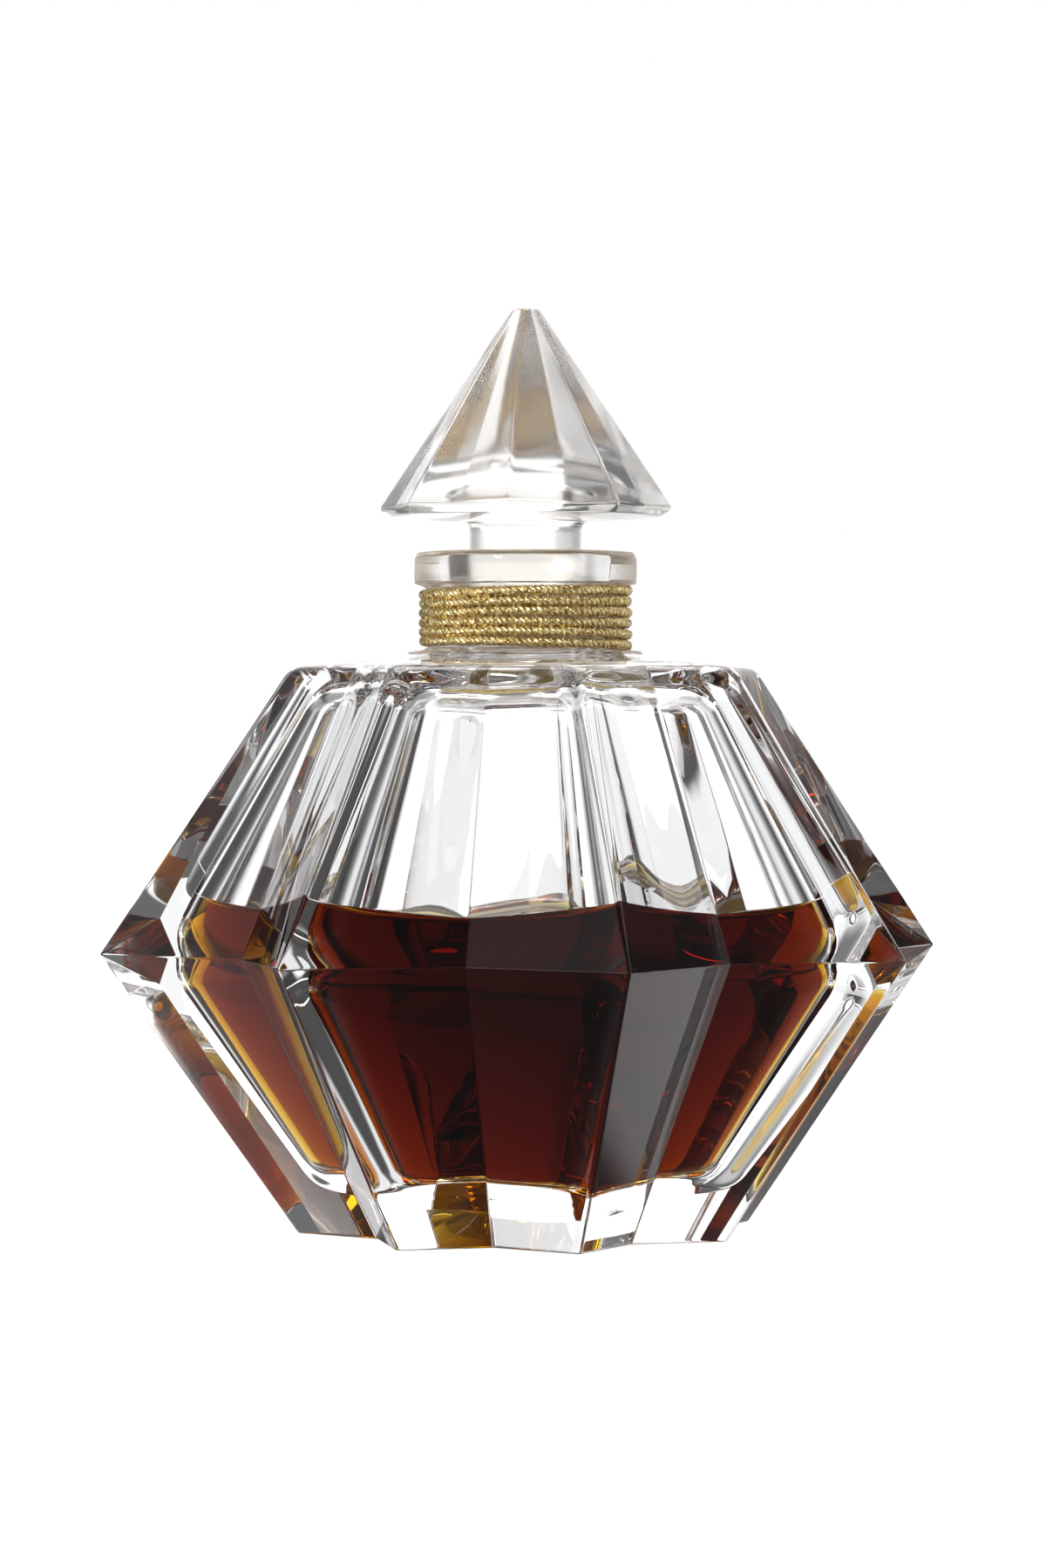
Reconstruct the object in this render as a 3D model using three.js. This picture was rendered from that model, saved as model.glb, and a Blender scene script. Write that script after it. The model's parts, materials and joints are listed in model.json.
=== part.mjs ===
// A cut-glass perfume flacon with a faceted stopper, sealed with skin and gold cord.
// Units are millimetres, +Z is up, and the origin is the centre of the flat base.
// The body is an eight-pointed star in plan that widens from the base to a sharp girdle
// and narrows again to the shoulder. One ridge of the star points along -Y.

import * as THREE from 'three';

// ---- driving dimensions -------------------------------------------------------------

const POINTS = 8;               // ridges round the body and round the stopper
const SEGMENTS = 48;            // facets round one turn, three for each side of a ridge
const SLACK = 0.3;              // gap left between neighbouring pieces

const GIRDLE_R = 30;            // ridge radius at the widest level
const GIRDLE_Z = 19.5;
const BASE_R = 16.3;            // ridge radius of the foot
const SHOULDER_R = 16.5;        // ridge radius of the shoulder edge
const SHOULDER_Z = 39.1;
const GIRDLE_VALLEY = 0.778;    // valley radius over ridge radius at each level
const BASE_VALLEY = 0.76;
const SHOULDER_VALLEY = 0.85;
const RIM_OF_DOME_R = 14.6;     // where the shoulder edge turns into the dome above it
const RIM_OF_DOME_Z = 39.5;
const RIM_OF_DOME_VALLEY = 0.88;
const DOME_R = 11;              // where the dome has almost lost its lobes
const DOME_Z = 39.75;
const DOME_VALLEY = 0.96;

const FLOOR_Z = 5.1;            // thickness of the solid glass base
const CAVITY_TOP_Z = 37.2;
const CAVITY_GIRDLE_R = 23.5;
const CAVITY_VALLEY = 0.905;
const CAVITY_FLOOR_R = 7.5;     // flat middle of the cavity's floor
const FLOOR_BEND_HEIGHT = 2;    // the wall faces mostly upwards below this height
const BORE_FLARE_R = 5.2;       // where the bore opens into the cavity's roof
// The inside wall from the floor up to the shoulder, as ridge radius against height. It
// follows the outside with soft corners, so the ridges are solid glass.
const CAVITY_WALL = [
  [10.4, FLOOR_Z + 0.5],
  [13.4, FLOOR_Z + 1.3],
  [15.4, FLOOR_Z + 2.4],
  [22.4, GIRDLE_Z - 2.6],
  [23.2, GIRDLE_Z - 1.1],
  [CAVITY_GIRDLE_R, GIRDLE_Z],
  [23.2, GIRDLE_Z + 1.1],
  [22.4, GIRDLE_Z + 2.6],
  [14.4, CAVITY_TOP_Z - 2.6],
  [12.6, CAVITY_TOP_Z - 1.1],
  [9.8, CAVITY_TOP_Z - 0.3],
];

const LIQUID_Z = 23;            // height at which the perfume meets the wall
const MENISCUS_WIDTH = 1.2;     // the perfume falls away from the wall over this width
const MENISCUS_DROP = 1;

const NECK_R = 6.2;
const NECK_FOOT_Z = 39.85;      // where the shoulder dome meets the neck
const NECK_FILLET = 0.8;
const NECK_FILLET_STEPS = 3;
const LIP_R = 7.3;
const LIP_TOP_ROUNDING = 0.4;
const LIP_UNDERCUT = 0.2;
const BORE_MOUTH_BEVEL = 0.3;
const LIP_BOTTOM_Z = 45.2;
const LIP_TOP_Z = 47.2;
const BORE_TOP_R = 4.05;
const BORE_BOTTOM_R = 3.45;
const BORE_BOTTOM_Z = 38.2;

const PLUG_CLEARANCE = 0.1;     // radial gap between the ground plug and the bore
const PLUG_BOTTOM_Z = 39.2;
const SHANK_R = 4.05;
const SHANK_BOTTOM_Z = 47.5;
const PLUG_END_BEVEL = [0.5, 0.4];
const PLUG_TOP_Z = 46.9;
const HEAD_BOTTOM_Z = 49.4;
const RIM_R = 10.4;             // ridge radius of the stopper's rim
const RIM_Z = 50.3;
const RIM_VALLEY = 0.93;
const RIM_BEVEL = [0.4, 0.35];
const UNDERSIDE_R = 7.8;        // the underside is flat as far as this, then curls up
const UNDERSIDE_RISE = 0.25;
const UNDERSIDE_VALLEY = 0.97;
const SHANK_FILLET = [0.5, 0.3];
const TIP_R = 0.95;
const TIP_Z = 64.3;
const TIP_FLAT_R = 0.57;
const TIP_ROUNDING = 0.35;
const STOPPER_TWIST = THREE.MathUtils.degToRad(-19.5);

const SKIN = 0.2;               // thickness of the membrane collar
const SKIN_TOP_Z = 47.3;
const SKIN_FRILL_R = 8.6;       // outer edge of the frill on the shoulder
const SKIN_FRILL_RISE = 0.28;   // its height above the foot of the neck
const SKIN_BEND_R = 7.2;        // where the frill turns up towards the neck
const SKIN_BEND_RISE = 0.36;
const SKIN_CURL = 0.15;         // the last widening of the collar above the bend
const SKIN_CURL_RISE = 0.6;
const SKIN_NECK_RISE = 0.9;
const SKIN_UNDER_LIP = 0.25;    // gap under the lip
const SKIN_TUCK = 0.15;         // how much lower the skin is at the neck than at the lip

const CORD_R = 0.24;
const CORD_TURNS = 6;
const CORD_PITCH = 0.545;
const CORD_BOTTOM_Z = 40.91;    // centre line of the lowest turn
const CORD_CENTRE_R = NECK_R + SLACK + SKIN + SLACK + CORD_R;
const CORD_SIDES = 6;
const CORD_STEPS_PER_TURN = 24;
const KNOT_R = 0.5;
const KNOT_STRETCH = [1.7, 1, 1.2];
const KNOT_SEGMENTS = [12, 8];

const SHARP = 0;                // how round the lobes of a level are, from 0 to 1
const SOFTENED = 0.3;

// ---- materials ----------------------------------------------------------------------

function finish(color, roughness, metalness = 0) {
  return new THREE.MeshStandardMaterial({ color, roughness, metalness });
}

const clearGlass = finish(0xf1f4f5, 0.03);
const stopperGlass = finish(0xf3f1ea, 0.05);
const amberLiquid = finish(0x3a120c, 0.05);
const creamSkin = finish(0xd9c6a4, 0.45);
const goldThread = finish(0xc09a4a, 0.38, 0.85);
const goldKnotThread = finish(0xb48d42, 0.42, 0.85);

// ---- shape helpers ------------------------------------------------------------------

// Radius at an angle from a ridge, as a share of the ridge radius. A sharp level has
// straight sides between ridge and valley, and a round one has smooth lobes.
function flutedShare(angle, valley, round) {
  const half = Math.PI / POINTS;
  const turn = Math.abs(((angle + half) % (2 * half)) - half);
  const straight = (valley * Math.sin(half))
    / (Math.sin(turn) + valley * Math.sin(half - turn));
  const smooth = (1 + valley) / 2 + ((1 - valley) / 2) * Math.cos(POINTS * turn);
  return THREE.MathUtils.lerp(straight, smooth, round);
}

// A closed solid turned from levels of { r, z, valley, round }, from axis to axis, and
// fluted level by level. A level with no valley is a plain circle.
function flutedLathe(levels) {
  const profile = levels.map(({ r, z }) => new THREE.Vector2(r, z));
  const geometry = new THREE.LatheGeometry(profile, SEGMENTS);
  const position = geometry.attributes.position;
  for (let side = 0; side <= SEGMENTS; side += 1) {
    const angle = ((side % SEGMENTS) / SEGMENTS) * 2 * Math.PI;
    for (let row = 0; row < levels.length; row += 1) {
      const { valley = 1, round = 1 } = levels[row];
      const share = flutedShare(angle, valley, round);
      const index = side * levels.length + row;
      position.setX(index, position.getX(index) * share);
      position.setZ(index, position.getZ(index) * share);
    }
  }
  return geometry.rotateX(Math.PI / 2);
}

function level(r, z, valley = 1, round = 1) {
  return { r, z, valley, round };
}

function piece(name, geometry, material) {
  const mesh = new THREE.Mesh(geometry, material);
  mesh.name = name;
  return mesh;
}

// ---- the cavity ---------------------------------------------------------------------

// The wall's levels, moved inwards by an inset.
function cavityLevels(inset) {
  return CAVITY_WALL.map(([r, z]) => level(r - inset, z, CAVITY_VALLEY));
}

function cavityRadiusAt(z) {
  const above = CAVITY_WALL.findIndex((row) => row[1] > z);
  const [r0, z0] = CAVITY_WALL[above - 1];
  const [r1, z1] = CAVITY_WALL[above];
  return THREE.MathUtils.mapLinear(z, z0, z1, r0, r1);
}

// ---- the pieces ---------------------------------------------------------------------

// The hollow quarter round between the dome and the neck, from below upwards.
function neckFillet() {
  const levels = [];
  for (let step = 0; step <= NECK_FILLET_STEPS; step += 1) {
    const angle = (step / NECK_FILLET_STEPS) * (Math.PI / 2);
    levels.push(level(
      NECK_R + NECK_FILLET * (1 - Math.sin(angle)),
      NECK_FOOT_Z + NECK_FILLET * (1 - Math.cos(angle))));
  }
  return levels;
}

// The flacon itself: foot, girdle, domed shoulder, neck and lip outside, then the
// tapered bore and the cavity inside, in one turned and fluted wall.
function glassBody() {
  const outside = [
    level(0, 0),
    level(BASE_R, 0, BASE_VALLEY, SHARP),
    level(GIRDLE_R, GIRDLE_Z, GIRDLE_VALLEY, SHARP),
    level(SHOULDER_R, SHOULDER_Z, SHOULDER_VALLEY, SHARP),
    level(RIM_OF_DOME_R, RIM_OF_DOME_Z, RIM_OF_DOME_VALLEY, SOFTENED),
    level(DOME_R, DOME_Z, DOME_VALLEY),
    ...neckFillet(),
    level(NECK_R, LIP_BOTTOM_Z - LIP_UNDERCUT),
    level(LIP_R - LIP_UNDERCUT, LIP_BOTTOM_Z),
    level(LIP_R, LIP_BOTTOM_Z + LIP_UNDERCUT),
    level(LIP_R, LIP_TOP_Z - LIP_TOP_ROUNDING),
    level(LIP_R - LIP_TOP_ROUNDING, LIP_TOP_Z),
  ];
  const inside = [
    level(BORE_TOP_R + BORE_MOUTH_BEVEL, LIP_TOP_Z),
    level(BORE_TOP_R, LIP_TOP_Z - BORE_MOUTH_BEVEL),
    level(BORE_BOTTOM_R, BORE_BOTTOM_Z),
    level(BORE_FLARE_R, CAVITY_TOP_Z),
    ...cavityLevels(0).reverse(),
    level(CAVITY_FLOOR_R, FLOOR_Z),
    level(0, FLOOR_Z),
  ];
  return piece('glass_body', flutedLathe([...outside, ...inside]), clearGlass);
}

// The perfume fills the cavity up to its level, with a raised meniscus at the wall.
function perfume() {
  const wall = cavityLevels(SLACK).filter(({ z }) => z < LIQUID_Z - SLACK);
  const nearFloor = (row) => row.z < FLOOR_Z + FLOOR_BEND_HEIGHT;
  const lifted = wall.map((row) => (nearFloor(row) ? { ...row, z: row.z + SLACK } : row));
  const surfaceR = cavityRadiusAt(LIQUID_Z) - SLACK;
  const levels = [
    level(0, FLOOR_Z + SLACK),
    level(CAVITY_FLOOR_R, FLOOR_Z + SLACK),
    ...lifted,
    level(surfaceR, LIQUID_Z, CAVITY_VALLEY),
    level(surfaceR - MENISCUS_WIDTH, LIQUID_Z - MENISCUS_DROP, CAVITY_VALLEY),
    level(0, LIQUID_Z - MENISCUS_DROP),
  ];
  return piece('perfume', flutedLathe(levels), amberLiquid);
}

// The stopper: a fluted cone on a clear shank, and the tapered plug ground to the bore.
function stopper() {
  const plugBottomR = THREE.MathUtils.mapLinear(
    PLUG_BOTTOM_Z, BORE_BOTTOM_Z, LIP_TOP_Z, BORE_BOTTOM_R, BORE_TOP_R) - PLUG_CLEARANCE;
  const [endBevelR, endBevelZ] = PLUG_END_BEVEL;
  const [filletR, filletZ] = SHANK_FILLET;
  const [rimBevelR, rimBevelZ] = RIM_BEVEL;
  const levels = [
    level(0, PLUG_BOTTOM_Z),
    level(plugBottomR - endBevelR, PLUG_BOTTOM_Z),
    level(plugBottomR, PLUG_BOTTOM_Z + endBevelZ),
    level(BORE_TOP_R - PLUG_CLEARANCE, PLUG_TOP_Z),
    level(SHANK_R, SHANK_BOTTOM_Z),
    level(SHANK_R, HEAD_BOTTOM_Z - filletZ),
    level(SHANK_R + filletR, HEAD_BOTTOM_Z),
    level(UNDERSIDE_R, HEAD_BOTTOM_Z + UNDERSIDE_RISE, UNDERSIDE_VALLEY),
    level(RIM_R - rimBevelR, RIM_Z - rimBevelZ, RIM_VALLEY, SOFTENED),
    level(RIM_R, RIM_Z, RIM_VALLEY, SOFTENED),
    level(TIP_R, TIP_Z - TIP_ROUNDING, RIM_VALLEY, SOFTENED),
    level(TIP_FLAT_R, TIP_Z),
    level(0, TIP_Z),
  ];
  const mesh = piece('stopper', flutedLathe(levels), stopperGlass);
  mesh.rotation.z = STOPPER_TWIST;
  return mesh;
}

// The membrane collar: over the side of the lip, in round the neck under the cord, and
// out again in a short frill that lies on the shoulder.
function sealMembrane() {
  const lipR = LIP_R + SLACK;
  const neckR = NECK_R + SLACK;
  const underLip = LIP_BOTTOM_Z - SKIN_UNDER_LIP;
  const inner = [
    [lipR, SKIN_TOP_Z],
    [lipR, underLip],
    [neckR, underLip - SKIN_TUCK],
    [neckR, NECK_FOOT_Z + SKIN_NECK_RISE],
    [neckR + SKIN_CURL, NECK_FOOT_Z + SKIN_CURL_RISE],
    [SKIN_BEND_R, NECK_FOOT_Z + SKIN_BEND_RISE],
    [SKIN_FRILL_R, NECK_FOOT_Z + SKIN_FRILL_RISE],
  ];
  const outer = [
    [SKIN_FRILL_R, NECK_FOOT_Z + SKIN_FRILL_RISE + SKIN],
    [SKIN_BEND_R, NECK_FOOT_Z + SKIN_BEND_RISE + SKIN],
    [neckR + SKIN_CURL + SKIN, NECK_FOOT_Z + SKIN_CURL_RISE + SKIN_CURL],
    [neckR + SKIN, NECK_FOOT_Z + SKIN_NECK_RISE],
    [neckR + SKIN, underLip - SKIN_TUCK - SKIN],
    [lipR + SKIN, underLip - SKIN],
    [lipR + SKIN, SKIN_TOP_Z],
  ];
  const ring = [...inner, ...outer, inner[0]].map(([r, z]) => new THREE.Vector2(r, z));
  const geometry = new THREE.LatheGeometry(ring, SEGMENTS).rotateX(Math.PI / 2);
  return piece('seal_membrane', geometry, creamSkin);
}

// The route of the cord's centre line, which climbs evenly round the neck.
class Winding extends THREE.Curve {
  getPoint(t, target = new THREE.Vector3()) {
    const angle = Math.PI / 2 + t * CORD_TURNS * 2 * Math.PI;
    return target.set(
      CORD_CENTRE_R * Math.cos(angle),
      CORD_CENTRE_R * Math.sin(angle),
      CORD_BOTTOM_Z + t * CORD_TURNS * CORD_PITCH);
  }
}

function goldCord() {
  const section = new THREE.Shape();
  for (let side = 0; side < CORD_SIDES; side += 1) {
    const angle = (side / CORD_SIDES) * 2 * Math.PI;
    const corner = [CORD_R * Math.cos(angle), CORD_R * Math.sin(angle)];
    if (side === 0) section.moveTo(...corner);
    else section.lineTo(...corner);
  }
  section.closePath();
  const geometry = new THREE.ExtrudeGeometry(section, {
    steps: CORD_TURNS * CORD_STEPS_PER_TURN,
    extrudePath: new Winding(),
    bevelEnabled: false,
  });
  return piece('gold_cord', geometry, goldThread);
}

// The knot that ties the two ends of the cord, at the back of the neck.
function cordKnot() {
  const geometry = new THREE.SphereGeometry(KNOT_R, ...KNOT_SEGMENTS);
  const mesh = piece('cord_knot', geometry.scale(...KNOT_STRETCH), goldKnotThread);
  const middleZ = CORD_BOTTOM_Z + (CORD_TURNS * CORD_PITCH) / 2;
  mesh.position.set(0, CORD_CENTRE_R + CORD_R + SLACK + KNOT_R, middleZ);
  return mesh;
}

const flacon = new THREE.Group();
flacon.add(glassBody(), perfume(), stopper(), sealMembrane(), goldCord(), cordKnot());

export default flacon;
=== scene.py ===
"""A star-cut perfume flacon: fine glass, perfume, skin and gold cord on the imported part."""
import json
import math

import bpy
from mathutils import Matrix, Vector, noise

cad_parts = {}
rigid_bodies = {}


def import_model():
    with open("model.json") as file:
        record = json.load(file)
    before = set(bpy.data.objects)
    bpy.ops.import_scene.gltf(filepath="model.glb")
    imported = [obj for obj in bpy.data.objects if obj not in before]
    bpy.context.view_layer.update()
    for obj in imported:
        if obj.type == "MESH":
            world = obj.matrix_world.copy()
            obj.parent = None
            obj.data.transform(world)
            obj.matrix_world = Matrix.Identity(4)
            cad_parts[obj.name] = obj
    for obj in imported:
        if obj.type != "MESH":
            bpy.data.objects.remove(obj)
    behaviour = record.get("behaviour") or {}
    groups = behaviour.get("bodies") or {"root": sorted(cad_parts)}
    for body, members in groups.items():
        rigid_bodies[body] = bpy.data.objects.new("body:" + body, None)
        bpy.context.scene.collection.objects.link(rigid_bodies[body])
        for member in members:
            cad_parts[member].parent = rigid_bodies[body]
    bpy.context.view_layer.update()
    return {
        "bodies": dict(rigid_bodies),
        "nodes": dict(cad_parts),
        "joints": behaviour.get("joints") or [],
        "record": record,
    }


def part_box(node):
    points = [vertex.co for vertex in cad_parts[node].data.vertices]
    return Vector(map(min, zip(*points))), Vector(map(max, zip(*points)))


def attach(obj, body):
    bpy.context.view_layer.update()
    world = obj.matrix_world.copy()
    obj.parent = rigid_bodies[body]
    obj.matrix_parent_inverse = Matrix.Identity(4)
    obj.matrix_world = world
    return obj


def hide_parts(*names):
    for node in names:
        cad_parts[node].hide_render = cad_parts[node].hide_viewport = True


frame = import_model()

# ---- sizes, in millimetres, worked out from the frame ---------------------------------

MM = 0.001


def node_box(node):
    low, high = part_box(node)
    return Vector(low) / MM, Vector(high) / MM


glass_high = node_box("glass_body")[1]
perfume_low, perfume_high = node_box("perfume")
stopper_low, stopper_high = node_box("stopper")
cord_high = node_box("gold_cord")[1]

RIDGES = 8
GIRDLE_R = glass_high.x
GIRDLE_Z = 0.65 * GIRDLE_R
FOOT_R = 0.543 * GIRDLE_R
SHOULDER_R = 0.563 * GIRDLE_R
SHOULDER_Z = 1.306 * GIRDLE_R
DOME_R = 0.43 * GIRDLE_R
DOME_Z = 1.321 * GIRDLE_R
NECK_R = 0.222 * GIRDLE_R
NECK_FOOT_Z = 1.333 * GIRDLE_R
NECK_FLARE_R = 8.6              # where the neck's foot runs out into the dome
NECK_FLARE_RISE = 0.1
LIP_R = 0.256 * GIRDLE_R
LIP_BOTTOM_Z = 1.498 * GIRDLE_R
LIP_TOP_Z = glass_high.z
LIP_UNDERCUT = 0.15
BORE_TOP_R = 4.05
BORE_BOTTOM_R = 3.45
BORE_BOTTOM_Z = 38.2

# A valley is the share of the ridge's radius that its neighbouring valleys stand at.
FOOT_VALLEY = 0.765
GIRDLE_VALLEY = 0.778
SHOULDER_VALLEY = 0.84
DOME_VALLEY = 0.92
CAVITY_FLOOR_VALLEY = 0.9
CAVITY_VALLEY = 0.905
CAVITY_SHOULDER_VALLEY = 0.88

CAD_GAP = 0.3                   # the CAD perfume stands this far clear of the glass
FLOOR_Z = perfume_low.z - CAD_GAP
FLOOR_CROWN = 0.2               # the cavity's floor is this much higher in the middle
CAVITY_FLOOR_R = 13.9
CAVITY_R = perfume_high.x + CAD_GAP
CAVITY_SHOULDER_R = 13.6
CAVITY_TOP_Z = 37.2
CAVITY_THROAT_R = BORE_BOTTOM_R + 0.4
CAVITY_THROAT_Z = CAVITY_TOP_Z + 0.5

LIQUID_Z = perfume_high.z - 1.5
MENISCUS = 0.8                  # how far the perfume climbs the glass
CONTACT_CLIMB = 0.45            # how much further it climbs in the corners
CAPILLARY = 1.3                 # how fast that climb dies away from the glass
WALL_GAP = 0.02                 # clearance between the perfume's wall and the glass
WETTED_CORNERS = 4              # of the cavity's corners, those that the perfume touches

CORD_OUTER_R = cord_high.x
CORD_LOW_Z = 1.351 * GIRDLE_R
CORD_HIGH_Z = 1.495 * GIRDLE_R
CORD_TURNS = 6

STOPPER_TWIST = math.radians(-19.5)
TIP_R = 0.95
TIP_Z = stopper_high.z
RIM_R = 10.4
RIM_Z = 50.3
RIM_VALLEY = 0.91
RIM_BEVEL = 0.55
HEAD_BOTTOM_Z = 49.4
SHANK_R = 4.05
DRAWN_SHANK_R = SHANK_R - 0.1
SHANK_FOOT_Z = LIP_TOP_Z + 0.5
PLUG_TOP_R = BORE_TOP_R - 0.1
PLUG_TOP_Z = LIP_TOP_Z - 0.3
PLUG_BOTTOM_R = BORE_BOTTOM_R - 0.02
UNDERSIDE_R = RIM_R - 0.9
UNDERSIDE_VALLEY = 0.95
TIP_VALLEY = 0.95
TIP_CROWN = 0.05                # the tip is this much higher in the middle

GLASS_IOR = 1.5
LIQUID_IOR = 1.37
ABSORBED = (100.0, 212.0, 700.0)    # by the perfume, per metre, for red, green and blue

# ---- the camera: just below the shoulder's level, a little to the left of a ridge --------

CAMERA_AZIMUTH = math.radians(-12.8)
GIRDLE_SLOPE = 0.096            # the girdle's radius over the camera's distance
CAMERA_DISTANCE = GIRDLE_R / GIRDLE_SLOPE
CAMERA_Z = 1.201 * GIRDLE_R
AIM_Z = 1.036 * GIRDLE_R
AIM_SIDE = -0.006 * GIRDLE_R
LENS = 102.5


def make_camera():
    data = bpy.data.cameras.new("camera")
    data.lens = LENS
    data.sensor_width = 36
    data.clip_start = 0.01
    data.clip_end = 20
    camera = bpy.data.objects.new("camera", data)
    back = Vector((math.sin(CAMERA_AZIMUTH), -math.cos(CAMERA_AZIMUTH), 0))
    right = Vector((math.cos(CAMERA_AZIMUTH), math.sin(CAMERA_AZIMUTH), 0))
    place = back * CAMERA_DISTANCE + Vector((0, 0, CAMERA_Z))
    aim = right * AIM_SIDE + Vector((0, 0, AIM_Z))
    camera.location = place * MM
    camera.rotation_mode = "QUATERNION"
    camera.rotation_quaternion = (aim - place).to_track_quat("-Z", "Y")
    bpy.context.collection.objects.link(camera)
    bpy.context.scene.camera = camera


# ---- outlines and rings ------------------------------------------------------------------

RIDGE_ARC = 4           # faces round a ridge
VALLEY_ARC = 2          # faces round a valley
EDGE_INNER = 4          # points between a ridge and a valley
FILLET_STEPS = 5        # faces round a corner of the outline
SUPPORT = 0.12          # how close a supporting edge stands to a fillet
WIDEST_SUPPORT = 0.15   # and its greatest share of a short edge
LONGEST_REACH = 0.48    # of a side, the most that one fillet may take
STRAIGHT = 1e-3         # a turn smaller than this needs no fillet
TINY = 1e-6
FULL_FILLET_R = 6       # rings narrower than this have smaller fillets


def corner(ridge, z, valley=1.0, fillet=0.0, round=1.0, part="glass", soft=1.0, climb=0.0):
    """One corner of an outline. part names the surface that starts there, soft widens the
    rounding of the ridges, and climb lifts the ridge above the valley."""
    return {"ridge": Vector((ridge, z + climb)), "valley": Vector((ridge * valley, z)),
            "fillet": fillet, "round": round, "part": part, "soft": soft}


def fillet_points(before, here, after, radius, steps):
    """Points of the arc that rounds a corner, the first and last on its two sides."""
    to_before = before - here
    to_after = after - here
    limit = LONGEST_REACH * min(to_before.length, to_after.length)
    to_before.normalize()
    to_after.normalize()
    cosine = max(-1.0, min(1.0, to_before.dot(to_after)))
    half = min(math.acos(cosine) / 2, math.pi / 2 - TINY)
    reach = radius / math.tan(half)
    if reach > limit:
        reach = limit
        radius = reach * math.tan(half)
    middle = here + (to_before + to_after).normalized() * (radius / math.sin(half))
    start = here + to_before * reach - middle
    end = here + to_after * reach - middle
    sweep = math.pi - 2 * half
    if sweep < STRAIGHT:
        return [here + to_after * (SUPPORT * (step / steps - 0.5)) for step in range(steps + 1)]
    found = []
    for step in range(steps + 1):
        share = step / steps
        first = math.sin((1 - share) * sweep) / math.sin(sweep)
        last = math.sin(share * sweep) / math.sin(sweep)
        found.append(middle + start * first + end * last)
    return found


def outline(corners, spans):
    """Rounds the corners of the ridge and valley outlines alike, and adds rings between
    them: spans is how many stand between each corner and the next."""
    rows = []
    last = len(corners) - 1
    for index, here in enumerate(corners):
        sides = {}
        for side in ("ridge", "valley"):
            if 0 < index < last and here["fillet"] > 0:
                before, after = corners[index - 1], corners[index + 1]
                sides[side] = fillet_points(before[side], here[side], after[side],
                                            here["fillet"], FILLET_STEPS)
            else:
                sides[side] = [here[side]]
        for ridge, valley in zip(sides["ridge"], sides["valley"]):
            rows.append({"ridge": ridge, "valley": valley, "round": here["round"],
                         "soft": here["soft"], "part": here["part"], "corner": index})
    found = []
    for row, following in zip(rows, rows[1:] + [None]):
        found.append(row)
        if following is None or following["corner"] == row["corner"]:
            continue
        length = (following["ridge"] - row["ridge"]).length
        shares = [(k + 1) / (spans + 1) for k in range(spans)]
        if length > 4 * SUPPORT:
            shares = [SUPPORT / length, *shares, 1 - SUPPORT / length]
        for share in shares:
            found.append({
                "ridge": row["ridge"].lerp(following["ridge"], share),
                "valley": row["valley"].lerp(following["valley"], share),
                "round": row["round"] + (following["round"] - row["round"]) * share,
                "soft": row["soft"] + (following["soft"] - row["soft"]) * share,
                "part": row["part"], "corner": row["corner"]})
    return found


def polar(radius, angle):
    return Vector((radius * math.cos(angle), radius * math.sin(angle)))


def edge_points(start, end):
    """The points between a ridge and a valley, with a support close to each."""
    length = (end - start).length
    near = min(SUPPORT / max(length, TINY), WIDEST_SUPPORT)
    shares = [near]
    shares += [(k + 1) / (EDGE_INNER + 1) for k in range(EDGE_INNER)]
    shares += [1 - near]
    return [start.lerp(end, share) for share in shares]


def star(ridge_r, valley_r, ridge_fillet, valley_fillet):
    """The rounded star of one level, counterclockwise from just before the ridge at -Y."""
    half = math.pi / RIDGES
    crests, troughs = [], []
    for index in range(RIDGES):
        middle = -math.pi / 2 + index * 2 * half
        ridge = polar(ridge_r, middle)
        next_ridge = polar(ridge_r, middle + 2 * half)
        before = polar(valley_r, middle - half)
        after = polar(valley_r, middle + half)
        crests.append(fillet_points(before, ridge, after, ridge_fillet, RIDGE_ARC))
        troughs.append(fillet_points(ridge, after, next_ridge, valley_fillet, VALLEY_ARC))
    points = []
    for index, (crest, trough) in enumerate(zip(crests, troughs)):
        next_crest = crests[(index + 1) % RIDGES]
        points += crest
        points += edge_points(crest[-1], trough[0])
        points += trough
        points += edge_points(trough[-1], next_crest[0])
    return points


def ring(row, ridge_fillet, valley_fillet):
    """The points of one level: its star, drawn towards a smooth wavy circle by its round."""
    ridge, valley = row["ridge"], row["valley"]
    if ridge.x < TINY:
        return [Vector((0, 0, ridge.y))]
    scale = min(1.0, ridge.x / FULL_FILLET_R) * row["soft"]
    points = star(ridge.x, valley.x, ridge_fillet * scale, valley_fillet * scale)
    found = []
    for index, point in enumerate(points):
        angle = (index - RIDGE_ARC / 2) * 2 * math.pi / len(points)
        wave = math.cos(RIDGES * angle)
        radius = (ridge.x + valley.x) / 2 + (ridge.x - valley.x) / 2 * wave
        height = (ridge.y + valley.y) / 2 + (ridge.y - valley.y) / 2 * wave
        place = point.lerp(polar(radius, angle - math.pi / 2), row["round"])
        found.append(Vector((place.x, place.y, height)))
    return found


# ---- the slight unevenness of pressed glass ----------------------------------------------

INSIDE_PARTS = ("wet", "cavity", "surface")
WAVE_FADE_R = 12        # the waves die away towards the axis
WAVE_FADE_Z = 3         # and towards the foot


# Each wave is its size, how quickly it comes round the flacon and up it, and where it starts.
INNER_WAVES = ((0.16, 0.11, 0.05, (0, 0, 0)), (0.02, 0.32, 0.08, (7, 3, 1)))
OUTER_WAVES = ((0.035, 0.13, 0.13, (0, 0, 0)), (0.008, 0.4, 0.4, (0, 0, 0)))


def strayed(point, waves):
    """How far a wall strays from its true form at a point, in millimetres."""
    total = 0.0
    for size, around, upward, start in waves:
        place = Vector((point.x * around, point.y * around, point.z * upward))
        total += size * noise.noise(place + Vector(start))
    return total


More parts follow.
